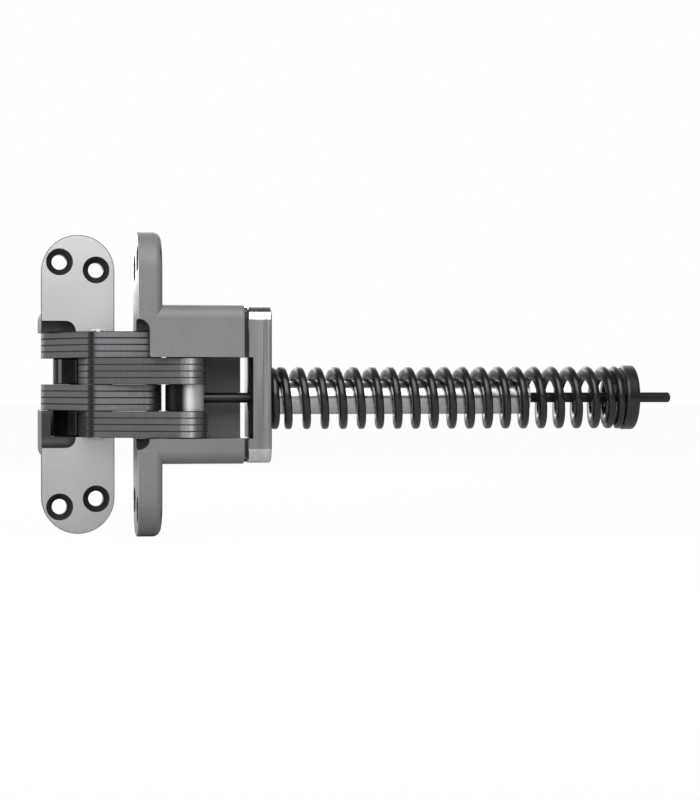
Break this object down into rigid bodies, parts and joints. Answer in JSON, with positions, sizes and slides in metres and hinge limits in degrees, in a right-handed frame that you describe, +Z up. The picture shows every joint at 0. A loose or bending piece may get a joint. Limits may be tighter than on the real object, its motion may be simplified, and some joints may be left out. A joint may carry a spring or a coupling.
{
  "type": "concealed closer hinge",
  "caption": "Concealed door hinge with two mortise leaves, crossing laminated links on pins, and a spring closer on a rod behind one leaf.",
  "frame": {"origin": "centre of the closer leaf's face", "axes": "+X out of the back of the closer leaf along the spring, +Y towards the hinge's far side, +Z up along the leaves; stored 90 degrees open"},
  "size_m": [0.2482, 0.0773, 0.1174],
  "materials": {
    "leaf_casting": "satin grey plated casting",
    "link_steel": "dark plain steel",
    "bright_steel": "bright plain steel",
    "black_steel": "black oxide, slightly glossy",
    "stainless": "brushed along its height"
  },
  "bodies": {
    "closer_leaf": {"right_leaf": "leaf_casting", "right_fixed_pin": "bright_steel", "closer_block": "stainless", "guide_tube": "bright_steel", "spring": "black_steel"},
    "link_a": {"link_a_1": "link_steel", "link_a_2": "link_steel", "link_a_3": "link_steel", "link_a_4": "link_steel", "link_a_5": "link_steel", "link_a_6": "link_steel", "link_a_7": "link_steel", "link_a_8": "link_steel", "centre_pin": "bright_steel", "left_slide_pin": "bright_steel", "left_shoe_upper": "black_steel", "left_shoe_lower": "black_steel"},
    "link_b": {"link_b_1": "link_steel", "link_b_2": "link_steel", "link_b_3": "link_steel", "link_b_4": "link_steel", "link_b_5": "link_steel", "link_b_6": "link_steel", "link_b_7": "link_steel", "link_b_8": "link_steel", "right_slide_pin": "bright_steel", "right_shoe": "black_steel"},
    "plain_leaf": {"left_leaf": "leaf_casting", "left_fixed_pin": "bright_steel"},
    "closer_rod": {"rod_eye": "bright_steel", "rod": "black_steel", "end_cap": "black_steel"}
  },
  "joints": [
    {"name": "fold", "type": "hinge", "parent": "closer_leaf", "child": "link_a", "pos_m": [0.0072, 0.0099, 0], "axis": [0, 0, -1], "range_deg": [-58.25, 58.25], "stiffness_Nm_per_rad": 0.18, "springref_deg": -91.67, "deforming": ["spring"]},
    {"name": "cross_pivot", "type": "hinge", "parent": "link_a", "child": "link_b", "pos_m": [-0.01402, 0.00711, 0], "axis": [0, 0, -1], "range_deg": [-27, 27]},
    {"name": "plain_leaf_pivot", "type": "hinge", "parent": "link_b", "child": "plain_leaf", "pos_m": [-0.01122, 0.02832, 0], "axis": [0, 0, -1], "range_deg": [-58.75, 58.75]},
    {"name": "rod_pivot", "type": "hinge", "parent": "link_b", "child": "closer_rod", "pos_m": [0.02036, 0, -0.00515], "axis": [0, 0, -1], "range_deg": [-32.25, 32.25]}
  ],
  "couplings": [
    {"joint": "cross_pivot", "follows": "fold", "ratio": -0.455},
    {"joint": "plain_leaf_pivot", "follows": "fold", "ratio": 1},
    {"joint": "rod_pivot", "follows": "fold", "ratio": -0.545}
  ]
}
